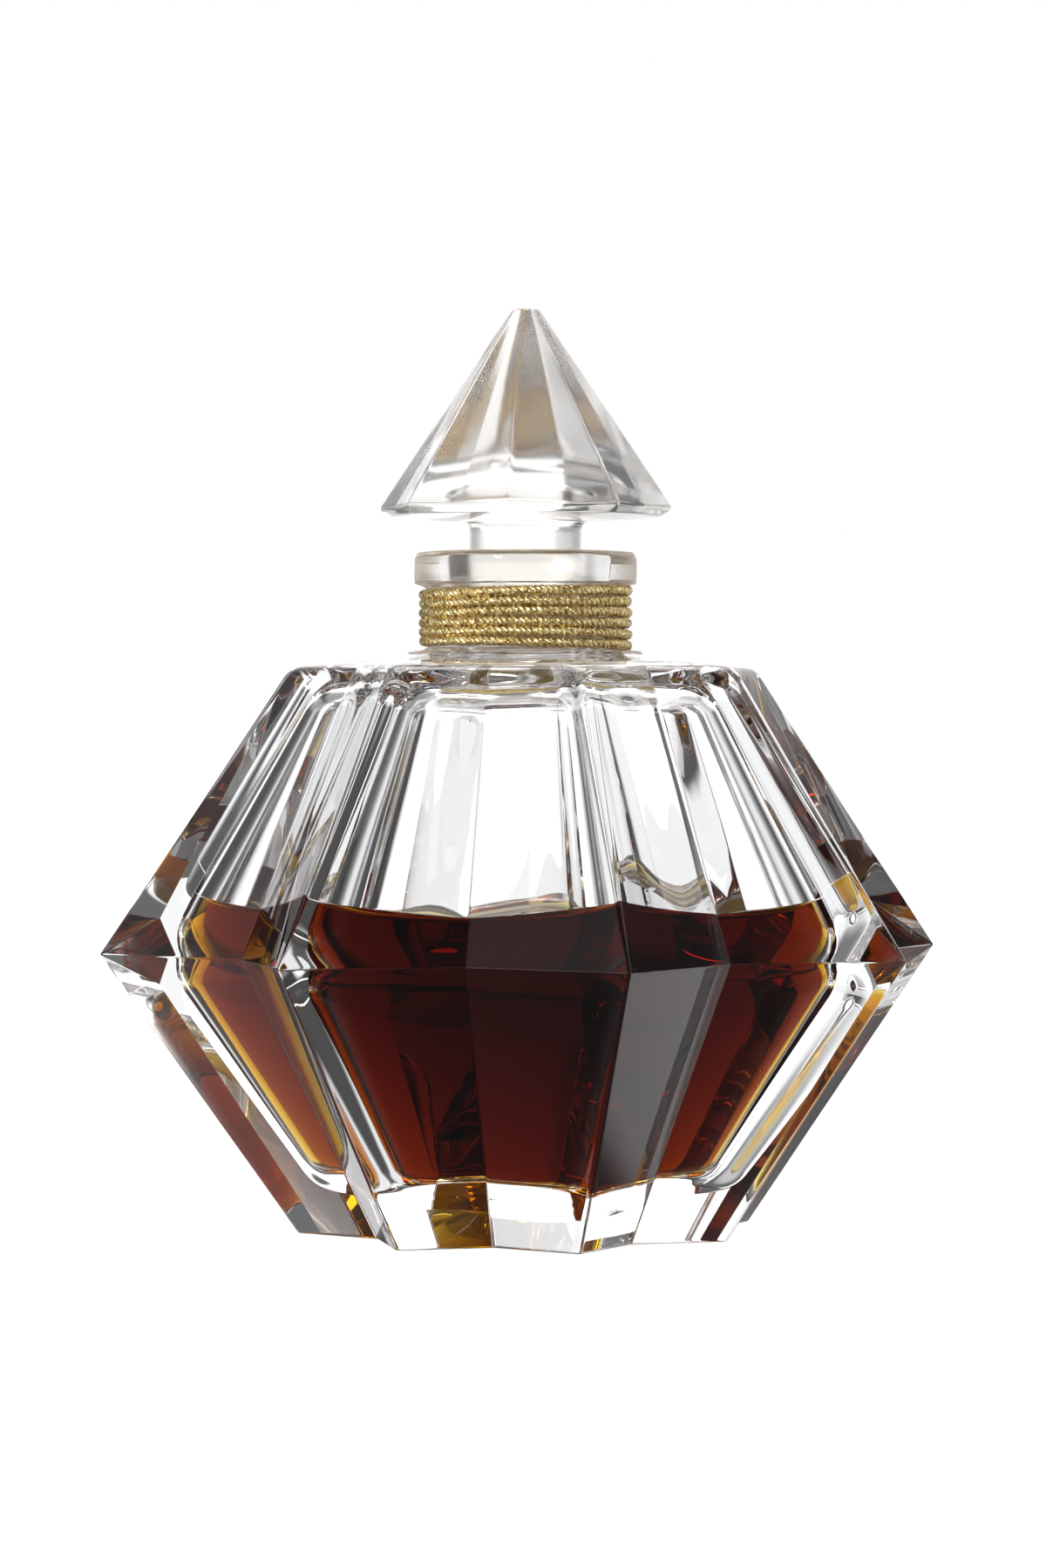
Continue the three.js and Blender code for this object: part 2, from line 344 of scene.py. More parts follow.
def waved(point, part):
    """The point moved away from the axis or towards it by the wave of its surface."""
    reach = math.hypot(point.x, point.y)
    fade = min(1.0, reach / WAVE_FADE_R)
    if part in INSIDE_PARTS:
        wave = strayed(point, INNER_WAVES) * fade
    elif part == "glass":
        wave = strayed(point, OUTER_WAVES) * fade * min(1.0, point.z / WAVE_FADE_Z)
    else:
        return point
    stretch = 1 + wave / reach
    return Vector((point.x * stretch, point.y * stretch, point.z))


# ---- meshes ------------------------------------------------------------------------------

def make_object(name, points, faces, materials, slots=None):
    """A smooth-shaded piece from points in millimetres. slots gives each face's material."""
    mesh = bpy.data.meshes.new(name)
    mesh.from_pydata([point * MM for point in points], [], faces)
    for material in materials:
        mesh.materials.append(material)
    for index, face in enumerate(mesh.polygons):
        face.use_smooth = True
        if slots:
            face.material_index = slots[index]
    mesh.validate()
    piece = bpy.data.objects.new(name, mesh)
    bpy.context.collection.objects.link(piece)
    return piece


def loft(rows, ridge_fillet, valley_fillet, twist=0.0):
    """The points and faces of a closed turned form, and the row that each face starts at."""
    turn = Matrix.Rotation(twist, 3, "Z")
    points, starts = [], []
    for row in rows:
        starts.append(len(points))
        level = [turn @ point for point in ring(row, ridge_fillet, valley_fillet)]
        if len(level) > 1:
            level = [waved(point, row["part"]) for point in level]
        points += level
    starts.append(len(points))
    faces, owners = [], []
    for index in range(len(rows) - 1):
        low, high, end = starts[index:index + 3]
        low_count, high_count = high - low, end - high
        count = max(low_count, high_count)
        for k in range(count):
            following = (k + 1) % count
            if low_count == 1:
                faces.append((low, high + following, high + k))
            elif high_count == 1:
                faces.append((low + k, low + following, high))
            else:
                faces.append((low + k, low + following, high + following, high + k))
            owners.append(index)
    return points, faces, owners


# ---- node helpers ------------------------------------------------------------------------

def new_material(name):
    material = bpy.data.materials.new(name)
    material.use_nodes = True
    tree = material.node_tree
    tree.nodes.clear()
    output = tree.nodes.new("ShaderNodeOutputMaterial")
    return material, tree, output


def add(tree, kind, **values):
    """A new node. Each value goes to the input of that name, or else to the node itself."""
    node = tree.nodes.new(kind)
    for key, value in values.items():
        if key in node.inputs.keys():
            node.inputs[key].default_value = value
        else:
            setattr(node, key, value)
    return node


def principled(tree, **values):
    """A Principled BSDF. An underscore in a value's name stands for a space."""
    node = tree.nodes.new("ShaderNodeBsdfPrincipled")
    for key, value in values.items():
        node.inputs[key.replace("_", " ")].default_value = value
    return node


def own_noise(tree, scale, detail, stretch=(1, 1, 1), **values):
    """Noise on the piece's own coordinates; gives back its value from 0 to 1."""
    place = add(tree, "ShaderNodeTexCoord")
    mapping = add(tree, "ShaderNodeMapping", Scale=stretch)
    texture = add(tree, "ShaderNodeTexNoise", Scale=scale, Detail=detail, **values)
    tree.links.new(place.outputs["Object"], mapping.inputs["Vector"])
    tree.links.new(mapping.outputs["Vector"], texture.inputs["Vector"])
    return texture.outputs["Fac"]


def spread(tree, value, low, high, start=0.0, end=1.0):
    """Maps a value between start and end to one between low and high."""
    node = add(tree, "ShaderNodeMapRange")
    for name, number in (("From Min", start), ("From Max", end), ("To Min", low), ("To Max", high)):
        node.inputs[name].default_value = number
    tree.links.new(value, node.inputs["Value"])
    return node.outputs["Result"]


def two_tones(tree, value, dark, light, dark_at=0.0, light_at=1.0):
    ramp = add(tree, "ShaderNodeValToRGB")
    for element, colour, position in zip(ramp.color_ramp.elements, (dark, light),
                                         (dark_at, light_at)):
        element.position = position
        element.color = (*colour, 1)
    tree.links.new(value, ramp.inputs["Fac"])
    return ramp.outputs["Color"]


def bumped(tree, value, strength, distance):
    bump = add(tree, "ShaderNodeBump", Strength=strength, Distance=distance)
    tree.links.new(value, bump.inputs["Height"])
    return bump.outputs["Normal"]


# ---- materials ---------------------------------------------------------------------------

def polished_glass(name, tint, haze):
    """Clear fire-polished crystal. Its shine changes very slightly from place to place, and
    haze is the greatest roughness."""
    material, tree, output = new_material(name)
    shader = principled(tree, Base_Color=(*tint, 1), IOR=GLASS_IOR, Transmission_Weight=1.0)
    patches = own_noise(tree, scale=160.0, detail=2.0, stretch=(1, 1, 0.6))
    rough = spread(tree, patches, haze * 0.6, haze, start=0.4)
    tree.links.new(rough, shader.inputs["Roughness"])
    tree.links.new(shader.outputs["BSDF"], output.inputs["Surface"])
    return material


def wetted_glass():
    """The inside wall where the perfume touches it. The perfume's own wall bends the light."""
    material, tree, output = new_material("glass_wetted")
    shader = principled(tree, Base_Color=(1, 1, 1, 1), Roughness=0.0, IOR=1.0,
                        Transmission_Weight=1.0)
    tree.links.new(shader.outputs["BSDF"], output.inputs["Surface"])
    return material


def ground_glass(name, clearness, low, high):
    """Finely ground glass. clearness is the share of light that passes it, and low and high
    are the roughness of its smoothest and coarsest grain."""
    material, tree, output = new_material(name)
    shader = principled(tree, Base_Color=(1.0, 0.985, 0.95, 1), IOR=GLASS_IOR,
                        Transmission_Weight=clearness)
    rough = spread(tree, own_noise(tree, scale=9000.0, detail=2.0), low, high)
    tree.links.new(rough, shader.inputs["Roughness"])
    tree.links.new(shader.outputs["BSDF"], output.inputs["Surface"])
    return material


def perfume_liquid():
    """Clear liquid that passes red light furthest. Its wall faces meet glass, so they bend
    light by the ratio of the two; its surface meets air."""
    material, tree, output = new_material("perfume_liquid")
    shader = principled(tree, Base_Color=(1, 1, 1, 1), Roughness=0.0, IOR=LIQUID_IOR,
                        Transmission_Weight=1.0)
    bend = add(tree, "ShaderNodeAttribute", attribute_name="bend")
    tree.links.new(bend.outputs["Fac"], shader.inputs["IOR"])
    density = max(ABSORBED) * 1.05
    kept = [1 - share / density for share in ABSORBED]
    absorb = add(tree, "ShaderNodeVolumeAbsorption", Color=(*kept, 1), Density=density)
    tree.links.new(shader.outputs["BSDF"], output.inputs["Surface"])
    tree.links.new(absorb.outputs["Volume"], output.inputs["Volume"])
    return material


def skin(name, face_on, edge_on, dark):
    """Cream goldbeater's skin: thin, creased, and more solid where it is seen edge on.
    face_on and edge_on are how much it hides at those slants, dark its darker tone."""
    material, tree, output = new_material(name)
    body = principled(tree, Roughness=0.42, IOR=1.45)
    glow = add(tree, "ShaderNodeBsdfTranslucent")
    flecks = own_noise(tree, scale=900.0, detail=4.0, stretch=(1, 1, 0.5))
    colour = two_tones(tree, flecks, dark, light=(1.0, 0.92, 0.8))
    tree.links.new(colour, body.inputs["Base Color"])
    tree.links.new(colour, glow.inputs["Color"])
    creases = own_noise(tree, scale=420.0, detail=3.0, stretch=(1, 1, 0.25))
    raised = bumped(tree, creases, strength=0.6, distance=0.0002)
    tree.links.new(raised, body.inputs["Normal"])
    lit = add(tree, "ShaderNodeMixShader", Fac=0.5)
    tree.links.new(glow.outputs["BSDF"], lit.inputs[1])
    tree.links.new(body.outputs["BSDF"], lit.inputs[2])
    slant = add(tree, "ShaderNodeLayerWeight", Blend=0.5)
    cover = spread(tree, slant.outputs["Facing"], face_on, edge_on, start=0.25, end=0.95)
    clear = add(tree, "ShaderNodeBsdfTransparent")
    mix = add(tree, "ShaderNodeMixShader")
    tree.links.new(cover, mix.inputs[0])
    tree.links.new(clear.outputs["BSDF"], mix.inputs[1])
    tree.links.new(lit.outputs["Shader"], mix.inputs[2])
    tree.links.new(mix.outputs["Shader"], output.inputs["Surface"])
    return material


def gold_thread():
    """Metallic thread: warm gold with a fine wrapped grain. The brighter and duller specks in its
    colour are painted glints and painted shade of its sparkle.
    """
    material, tree, output = new_material("gold_thread")
    shader = principled(tree, Metallic=0.9)
    # Painted glints and shade: bright and dark specks in the gold's colour, which also set its
    # roughness.
    painted_sparkle = own_noise(tree, scale=3600.0, detail=3.0, Roughness=0.6)
    colour = two_tones(tree, painted_sparkle, dark=(0.34, 0.2, 0.04), light=(1.0, 0.84, 0.44),
                       dark_at=0.35, light_at=0.62)
    tree.links.new(colour, shader.inputs["Base Color"])
    rough = spread(tree, painted_sparkle, low=0.22, high=0.48)
    tree.links.new(rough, shader.inputs["Roughness"])
    grain = own_noise(tree, scale=5200.0, detail=1.0)
    raised = bumped(tree, grain, strength=0.8, distance=0.00012)
    tree.links.new(raised, shader.inputs["Normal"])
    tree.links.new(shader.outputs["BSDF"], output.inputs["Surface"])
    return material


# ---- the glass body ----------------------------------------------------------------------

GLASS_RIDGE_FILLET = 0.22
GLASS_VALLEY_FILLET = 0.15
GLASS_SPANS = 5


def contact_radius():
    """Ridge radius of the cavity where the perfume's edge touches it."""
    share = (LIQUID_Z + MENISCUS - GIRDLE_Z) / (CAVITY_TOP_Z - GIRDLE_Z)
    return CAVITY_R + (CAVITY_SHOULDER_R - CAVITY_R) * share


def cavity_corners():
    """The inside wall from the floor's middle up to the foot of the bore."""
    return [
        corner(0, FLOOR_Z + FLOOR_CROWN, part="wet"),
        corner(CAVITY_FLOOR_R, FLOOR_Z, CAVITY_FLOOR_VALLEY, fillet=2.4, part="wet"),
        corner(CAVITY_R, GIRDLE_Z, CAVITY_VALLEY, fillet=3.0, part="wet"),
        corner(contact_radius(), LIQUID_Z + MENISCUS, CAVITY_VALLEY, part="cavity",
               climb=CONTACT_CLIMB),
        corner(CAVITY_SHOULDER_R, CAVITY_TOP_Z, CAVITY_SHOULDER_VALLEY, fillet=3.4,
               part="cavity"),
        corner(CAVITY_THROAT_R, CAVITY_THROAT_Z, fillet=0.5, part="cavity"),
    ]


def glass_rows():
    outside = [
        corner(0, 0),
        corner(FOOT_R, 0, FOOT_VALLEY, fillet=0.3, round=0, soft=1.5),
        corner(GIRDLE_R, GIRDLE_Z, GIRDLE_VALLEY, fillet=0.12, round=0, soft=0.7),
        corner(SHOULDER_R, SHOULDER_Z, SHOULDER_VALLEY, fillet=1.7, round=0, soft=4.5),
        corner(DOME_R, DOME_Z, DOME_VALLEY, fillet=2.0, round=0.5, soft=4.5),
        corner(NECK_FLARE_R, NECK_FOOT_Z - NECK_FLARE_RISE, fillet=0.5),
        corner(NECK_R, NECK_FOOT_Z + NECK_FLARE_RISE, fillet=0.6),
        corner(NECK_R, LIP_BOTTOM_Z, fillet=0.1),
        corner(LIP_R, LIP_BOTTOM_Z + LIP_UNDERCUT, fillet=0.12),
        corner(LIP_R, LIP_TOP_Z, fillet=0.5),
        corner(BORE_TOP_R, LIP_TOP_Z, fillet=0.35, part="bore"),
        corner(BORE_BOTTOM_R, BORE_BOTTOM_Z, fillet=0.2, part="cavity"),
    ]
    return outline(outside + cavity_corners()[::-1], GLASS_SPANS)


def make_glass_body():
    polished = polished_glass("glass_polished", tint=(0.985, 0.99, 0.99), haze=0.01)
    bore = ground_glass("glass_bore", clearness=1.0, low=0.08, high=0.2)
    rows = glass_rows()
    points, faces, owners = loft(rows, GLASS_RIDGE_FILLET, GLASS_VALLEY_FILLET)
    contact = LIQUID_Z + MENISCUS + CONTACT_CLIMB
    slots = []
    for owner in owners:
        row, following = rows[owner], rows[owner + 1]
        middle = (row["ridge"].y + following["ridge"].y) / 2
        if row["part"] in INSIDE_PARTS and middle < contact:
            slots.append(1)
        elif row["part"] == "bore":
            slots.append(2)
        else:
            slots.append(0)
    piece = make_object("flacon_glass", points, faces, [polished, wetted_glass(), bore], slots)
    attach(piece, "flacon")
    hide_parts("glass_body")


# ---- the perfume -------------------------------------------------------------------------

SURFACE_REACHES = (0.1, 0.25, 0.5, 0.8, 1.2, 1.7, 2.4, 3.4, 5.0, 8.0, 12.0)
CALM_REACH = 8          # this far from the glass the surface is a plain circle
AXIS_R = 1              # the wall's rows within this radius keep their place
FLOOR_BAND = 2          # the wall's rows this close to the floor are lifted off it


def perfume_wall():
    """The cavity's own wall, drawn in by the gap and lifted off the floor."""
    rows = outline(cavity_corners()[:WETTED_CORNERS], GLASS_SPANS)
    middle = rows[0]["ridge"] + Vector((0, WALL_GAP))
    rows[0].update(ridge=middle, valley=middle)
    for row in rows:
        if row["ridge"].x > AXIS_R:
            lift = WALL_GAP if row["ridge"].y < FLOOR_Z + FLOOR_BAND else 0
            shift = Vector((-WALL_GAP, lift))
            row.update(ridge=row["ridge"] + shift, valley=row["valley"] + shift)
    return rows


def perfume_surface(edge):
    """The level surface, which climbs in a curve to its edge on the glass."""
    rows = []
    for reach in SURFACE_REACHES:
        fade = math.exp(-reach / CAPILLARY)
        keep = 1 - reach / edge["valley"].x
        ridge = Vector((edge["ridge"].x - reach, LIQUID_Z + (MENISCUS + CONTACT_CLIMB) * fade))
        valley = Vector((edge["valley"].x - reach * keep, LIQUID_Z + MENISCUS * fade))
        calm = min(1, reach / CALM_REACH)
        rows.append({"ridge": ridge, "valley": valley, "part": "surface", "soft": 1.0,
                     "round": edge["round"] + (1 - edge["round"]) * calm})
    middle = Vector((0, LIQUID_Z))
    rows.append({"ridge": middle, "valley": middle, "part": "surface", "soft": 1.0, "round": 1})
    return rows


def make_perfume():
    wall = perfume_wall()
    rows = wall + perfume_surface(wall[-1])
    points, faces, owners = loft(rows, GLASS_RIDGE_FILLET, GLASS_VALLEY_FILLET)
    piece = make_object("perfume_liquid", points, faces, [perfume_liquid()])
    last_wall_owner = len(wall) - 2
    bends = [LIQUID_IOR / GLASS_IOR if owner <= last_wall_owner else LIQUID_IOR
             for owner in owners]
    bend = piece.data.attributes.new("bend", "FLOAT", "FACE")
    bend.data.foreach_set("value", bends)
    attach(piece, "flacon")
    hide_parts("perfume")


# ---- the stopper -------------------------------------------------------------------------

STOPPER_FILLET = 0.3
STOPPER_SPANS = 3


def make_stopper():
    corners = [
        corner(0, stopper_low.z, part="end"),
        corner(PLUG_BOTTOM_R, stopper_low.z, fillet=0.4, part="plug"),
        corner(PLUG_TOP_R, PLUG_TOP_Z, fillet=0.1, part="plug"),
        corner(DRAWN_SHANK_R, SHANK_FOOT_Z, fillet=0.3, part="plug"),
        corner(DRAWN_SHANK_R, HEAD_BOTTOM_Z, fillet=0.5),
        corner(UNDERSIDE_R, RIM_Z - RIM_BEVEL, UNDERSIDE_VALLEY, fillet=0.5, round=0.3),
        corner(RIM_R, RIM_Z, RIM_VALLEY, fillet=0.3, round=0.0, soft=1.5),
        corner(TIP_R, TIP_Z - TIP_CROWN, TIP_VALLEY, fillet=0.45, round=0.5),
        corner(0, TIP_Z),
    ]
    rows = outline(corners, STOPPER_SPANS)
    points, faces, owners = loft(rows, STOPPER_FILLET, STOPPER_FILLET, STOPPER_TWIST)
    slots = [{"plug": 1, "end": 2}.get(rows[owner]["part"], 0) for owner in owners]
    clear = polished_glass("glass_stopper", tint=(1.0, 0.985, 0.955), haze=0.19)
    ground = ground_glass("glass_ground", clearness=1.0, low=0.1, high=0.25)
    end = ground_glass("glass_ground_end", clearness=0.15, low=0.4, high=0.6)
    piece = make_object("stopper_glass", points, faces, [clear, ground, end], slots)
    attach(piece, "stopper")
    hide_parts("stopper")


# ---- the membrane ------------------------------------------------------------------------

SKIN_SIDES = 180
SKIN_THICKNESS = 0.05
SKIN_TURN_IN = 0.03     # the inner layer stands this much lower where the skin lies flat
LIP_TOP_ROWS = 4        # rows of the outline that lie on the lip
BOUND_ROWS = 12         # rows of the outline down to the cord's foot; the frill follows
TIGHT_CREASE = (0.03, 0.025)    # how deep the broad and the fine creases are where it is bound
LOOSE_CREASE = (0.25, 0.2)      # and how much deeper at the frill's edge
RAGGED_EDGE = 0.3               # how far the edge round the shank strays
FRILL_LIFT = 0.16
FOLDED_INSET = 0.3              # the folded skin on the lip's top ends this far inside its edge
FOLDED_DEPTH = 0.2

# Radius and height of the skin's outside, from the shank over the lip and down to the shoulder.
SKIN_OUTLINE = (
    (SHANK_R + 0.45, LIP_TOP_Z + 0.09),
    (SHANK_R + 1.5, LIP_TOP_Z + 0.08),
    (LIP_R - 1.2, LIP_TOP_Z + 0.07),
    (LIP_R - 0.6, LIP_TOP_Z + 0.06),
    (LIP_R - 0.15, LIP_TOP_Z + 0.03),
    (LIP_R + 0.08, LIP_TOP_Z - 0.35),
    (LIP_R + 0.1, LIP_BOTTOM_Z + 0.8),
    (LIP_R + 0.06, LIP_BOTTOM_Z + 0.15),
    (LIP_R - 0.5, LIP_BOTTOM_Z - 0.05),
    (NECK_R + 0.12, LIP_BOTTOM_Z - 0.3),
    (NECK_R + 0.1, CORD_LOW_Z + 1.97),
    (NECK_R + 0.12, CORD_LOW_Z + 0.2),
    (NECK_R + 0.5, CORD_LOW_Z - 0.1),
    (NECK_R + 0.95, NECK_FOOT_Z + 0.3),
    (NECK_R + 1.5, NECK_FOOT_Z + 0.18),
)


def skin_point(layer, row, k):
    """One point of the creased skin; layer 0 is its outside and layer 1 its inside."""
    radius, height = SKIN_OUTLINE[row]
    angle = 2 * math.pi * k / SKIN_SIDES
    around = Vector((math.cos(angle), math.sin(angle), 0))
    loose = max(0, row - BOUND_ROWS + 1) / (len(SKIN_OUTLINE) - BOUND_ROWS)
    crease = noise.noise(around * 3 + Vector((0, 0, row * 0.4)))
    fine = noise.noise(around * 11 + Vector((0, 0, row * 0.3)))
    radius += TIGHT_CREASE[0] * crease + TIGHT_CREASE[1] * fine
    radius += loose * (LOOSE_CREASE[0] * crease + LOOSE_CREASE[1] * fine)
    if row == 0:
        radius += RAGGED_EDGE * abs(crease + fine)
    height += loose * FRILL_LIFT * abs(crease + fine)
    if row >= BOUND_ROWS or row < LIP_TOP_ROWS:
        height -= layer * SKIN_TURN_IN
    return around * (radius - layer * SKIN_THICKNESS) + Vector((0, 0, height))


def make_membrane():
    """A thin skin gathered over the lip and the neck, with a frill on the shoulder."""
    rows = len(SKIN_OUTLINE)
    last = rows - 1
    points = [skin_point(layer, row, k)
              for layer in (0, 1) for row in range(rows) for k in range(SKIN_SIDES)]

    def at(layer, row, k):
        return (layer * rows + row) * SKIN_SIDES + k % SKIN_SIDES

    faces = []
    for k in range(SKIN_SIDES):
        ahead = k + 1
        for row in range(last):
            below = row + 1
            faces.append((at(0, row, k), at(0, below, k), at(0, below, ahead), at(0, row, ahead)))
            faces.append((at(1, row, ahead), at(1, below, ahead), at(1, below, k), at(1, row, k)))
        faces.append((at(0, 0, ahead), at(1, 0, ahead), at(1, 0, k), at(0, 0, k)))
        faces.append((at(0, last, k), at(1, last, k), at(1, last, ahead), at(0, last, ahead)))
    slots = []
    for face in faces:
        reach = max(math.hypot(*points[index].xy) for index in face)
        lowest = min(points[index].z for index in face)
        on_lip = reach < LIP_R - FOLDED_INSET and lowest > LIP_TOP_Z - FOLDED_DEPTH
        slots.append(1 if on_lip else 0)
    stretched = skin("skin_stretched", face_on=0.04, edge_on=0.45, dark=(0.85, 0.66, 0.42))
    folded = skin("skin_folded", face_on=0.6, edge_on=0.85, dark=(0.95, 0.68, 0.32))
    piece = make_object("membrane_collar", points, faces, [stretched, folded], slots)
    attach(piece, "flacon")
    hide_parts("seal_membrane")


# ---- the gold cord -----------------------------------------------------------------------

PLIES = 3
PLY_R = 0.205
PLY_ORBIT = 0.172       # each ply's distance from the middle of the cord
TWIST_PITCH = 1.25      # length of one full twist of the plies
PLY_SIDES = 6
STRAND_R = PLY_R + PLY_ORBIT

CORD_STEP = 0.16
CORD_CENTRE_R = CORD_OUTER_R - STRAND_R
CORD_PITCH = (CORD_HIGH_Z - CORD_LOW_Z - 2 * STRAND_R) / (CORD_TURNS - 1)
CLIMB_SHARE = 0.14      # of a turn, the part at the back that steps up to the next row
CORD_FAN = 0.3          # how much wider the rows spread on the +X side
CORD_SWAY = 0.07        # how far a row strays up or down
CORD_SHIFT = 0.05       # and in or out

KNOT_SCALE = 0.26
KNOT_FLATNESS = 0.9
KNOT_STEPS = 150
KNOT_STEP = 0.08
KNOT_START = 0.12 * math.pi
KNOT_SWEEP = 1.86 * math.pi
KNOT_STANDOFF = 0.45


def frames_along(path):
    """Each point of a path with two directions across it that turn as little as they can."""
    normal = Vector((0, 0, 1))
    last = len(path) - 1
    frames = []
    for index, place in enumerate(path):
        along = (path[min(index + 1, last)] - path[max(index - 1, 0)]).normalized()
        normal = (normal - along * normal.dot(along)).normalized()
        frames.append((place, normal, along.cross(normal)))
    return frames


def beside(frame, angle, distance):
    place, side, other = frame
    return place + (side * math.cos(angle) + other * math.sin(angle)) * distance


def plied(route, length_per_step):
    """The paths of the plies that twist round a route."""
    frames = frames_along(route)
    paths = []
    for ply in range(PLIES):
        turns = [index * length_per_step / TWIST_PITCH + ply / PLIES
                 for index in range(len(route))]
        paths.append([beside(frame, 2 * math.pi * turn, PLY_ORBIT)
                      for frame, turn in zip(frames, turns)])
    return paths


def add_tube(path, points, faces):
    """Adds one ply, a closed tube along a path, with flat ends."""
    first = len(points)
    for frame in frames_along(path):
        points += [beside(frame, 2 * math.pi * k / PLY_SIDES, PLY_R) for k in range(PLY_SIDES)]
    for index in range(len(path) - 1):
        low = first + index * PLY_SIDES
        high = low + PLY_SIDES
        for k in range(PLY_SIDES):
            following = (k + 1) % PLY_SIDES
            faces.append((low + k, low + following, high + following, high + k))
    last = first + (len(path) - 1) * PLY_SIDES
    faces.append(tuple(first + k for k in reversed(range(PLY_SIDES))))
    faces.append(tuple(last + k for k in range(PLY_SIDES)))


def make_cord_piece(name, node, route, length_per_step):
    """A plied gold cord along a route."""
    points, faces = [], []
    for path in plied(route, length_per_step):
        add_tube(path, points, faces)
    piece = make_object(name, points, faces, [gold_thread()])
    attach(piece, "flacon")
    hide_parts(node)


def wound_height(turn):
    """Rows climbed after so many turns: level round the front, each step up at the back."""
    row = min(math.floor(turn), CORD_TURNS - 1)
    part = min(1.0, max(0.0, (turn - row - (1 - CLIMB_SHARE)) / CLIMB_SHARE))
    return min(row + part * part * (3 - 2 * part), CORD_TURNS - 1)


def make_winding():
    steps = round(2 * math.pi * CORD_CENTRE_R * CORD_TURNS / CORD_STEP)
    route = []
    for index in range(steps + 1):
        turn = CORD_TURNS * index / steps
        around = polar(1, math.pi / 2 + 2 * math.pi * turn).to_3d()
        sway = noise.noise(around * 1.3 + Vector((0, 0, turn * 1.7)))
        shift = noise.noise(around * 2.1 + Vector((5, 0, turn * 2.3)))
        rows = wound_height(turn)
        fan = (rows / (CORD_TURNS - 1) - 0.5) * CORD_FAN * around.x
        height = CORD_LOW_Z + STRAND_R + CORD_PITCH * rows + fan + CORD_SWAY * sway
        route.append(around * (CORD_CENTRE_R + CORD_SHIFT * shift) + Vector((0, 0, height)))
    make_cord_piece("cord_winding", "gold_cord", route, CORD_STEP)


def make_knot():
    """An overhand knot at the back of the neck, with its two short ends."""
    middle = Vector((0, CORD_OUTER_R + KNOT_STANDOFF, (CORD_LOW_Z + CORD_HIGH_Z) / 2))
    route = []
    for index in range(KNOT_STEPS + 1):
        t = KNOT_START + KNOT_SWEEP * index / KNOT_STEPS
        x = math.sin(t) + 2 * math.sin(2 * t)
        y = -math.sin(3 * t) * KNOT_FLATNESS
        z = math.cos(t) - 2 * math.cos(2 * t)
        route.append(middle + Vector((x, y, z)) * KNOT_SCALE)
    make_cord_piece("cord_tie", "cord_knot", route, KNOT_STEP)


# ---- the stage ---------------------------------------------------------------------------

# Bearings are in degrees round the flacon: 0 is straight behind it and -90 is on the camera's
# left. Each pair is a bearing and the brightness there.
LEVEL_PANELS = (
    (-180, 0.2), (-135, 0.25), (-118, 1.1), (-82, 1.1), (-72, 0.04), (-26, 0.05), (-15, 1.35),
    (26, 1.35), (38, 0.6), (48, 0.08), (66, 0.08), (80, 1.1), (118, 1.1), (135, 0.25),
    (180, 0.2))
STRIP_PANELS = (
    (-180, 0.2), (-118, 1.1), (-82, 1.1), (-60, 0.9), (-15, 1.35), (26, 1.35), (60, 0.9),
    (82, 1.1), (118, 1.1), (180, 0.2))
RAISED_PANELS = (
    (-180, 0.1), (-130, 0.12), (-104, 0.5), (-82, 0.9), (-64, 0.3), (-34, 0.4), (-14, 1.3),
    (30, 1.2), (55, 0.6), (80, 0.9), (104, 0.5), (130, 0.12), (180, 0.1))
ABOVE_PANELS = (
    (-180, 0.08), (-110, 0.1), (-60, 0.7), (0, 0.9), (60, 0.7), (110, 0.1), (180, 0.08))
FLOOR_PANELS = (
    (-180, 0.3), (-135, 0.4), (-115, 1.0), (-85, 1.0), (-70, 0.05), (-27, 0.08), (-15, 1.1),
    (30, 1.0), (60, 0.6), (85, 1.3), (115, 1.1), (145, 0.4), (180, 0.3))
# Painted shadow: near the flacon the floor glows dimmer, in front of it and straight behind it,
# standing in for the flacon's own shadow on the floor.
SHADOWED_NEAR_PANELS = (
    (-180, 0.12), (-130, 0.15), (-100, 0.9), (-60, 0.9), (-42, 0.12), (0, 0.12), (40, 0.15),
    (62, 0.6), (85, 1.2), (112, 1.0), (135, 0.15), (180, 0.12))
COOLNESS = 1.01                 # the panels' blue, next to their red and green

# Where one ring of panels gives way to the next, as the height of a unit direction.
STRIP_RISE = (0.02, 0.032)
STRIP_FALL = (0.055, 0.075)
RAISED_FROM = (0.36, 0.6)
ABOVE_FROM = (0.8, 0.93)

FLOOR_SIDES = 96
FLOOR_RADII = (0.05, 0.2, 3.0)  # metres
FLOOR_TOP = -0.02               # millimetres, just under the foot
# FAR_FROM is where the painted shadow round the flacon gives way to the far floor.
FAR_FROM = (0.035, 0.12)        # metres from the flacon's axis


def maths(tree, kind, first, second):
    """One Math node on numbers or sockets; gives back its result."""
    node = add(tree, "ShaderNodeMath", operation=kind)
    for socket, value in zip(node.inputs, (first, second)):
        if isinstance(value, (int, float)):
            socket.default_value = value
        else:
            tree.links.new(value, socket)
    return node.outputs[0]


def turn_share(tree, x, y):
    """The direction round the upright as 0 to 1: 0.5 lies straight behind the flacon."""
    angle = maths(tree, "ARCTAN2", x, y)
    share = maths(tree, "DIVIDE", maths(tree, "ADD", angle, CAMERA_AZIMUTH), 2 * math.pi)
    return maths(tree, "FLOORED_MODULO", maths(tree, "ADD", share, 0.5), 1.0)


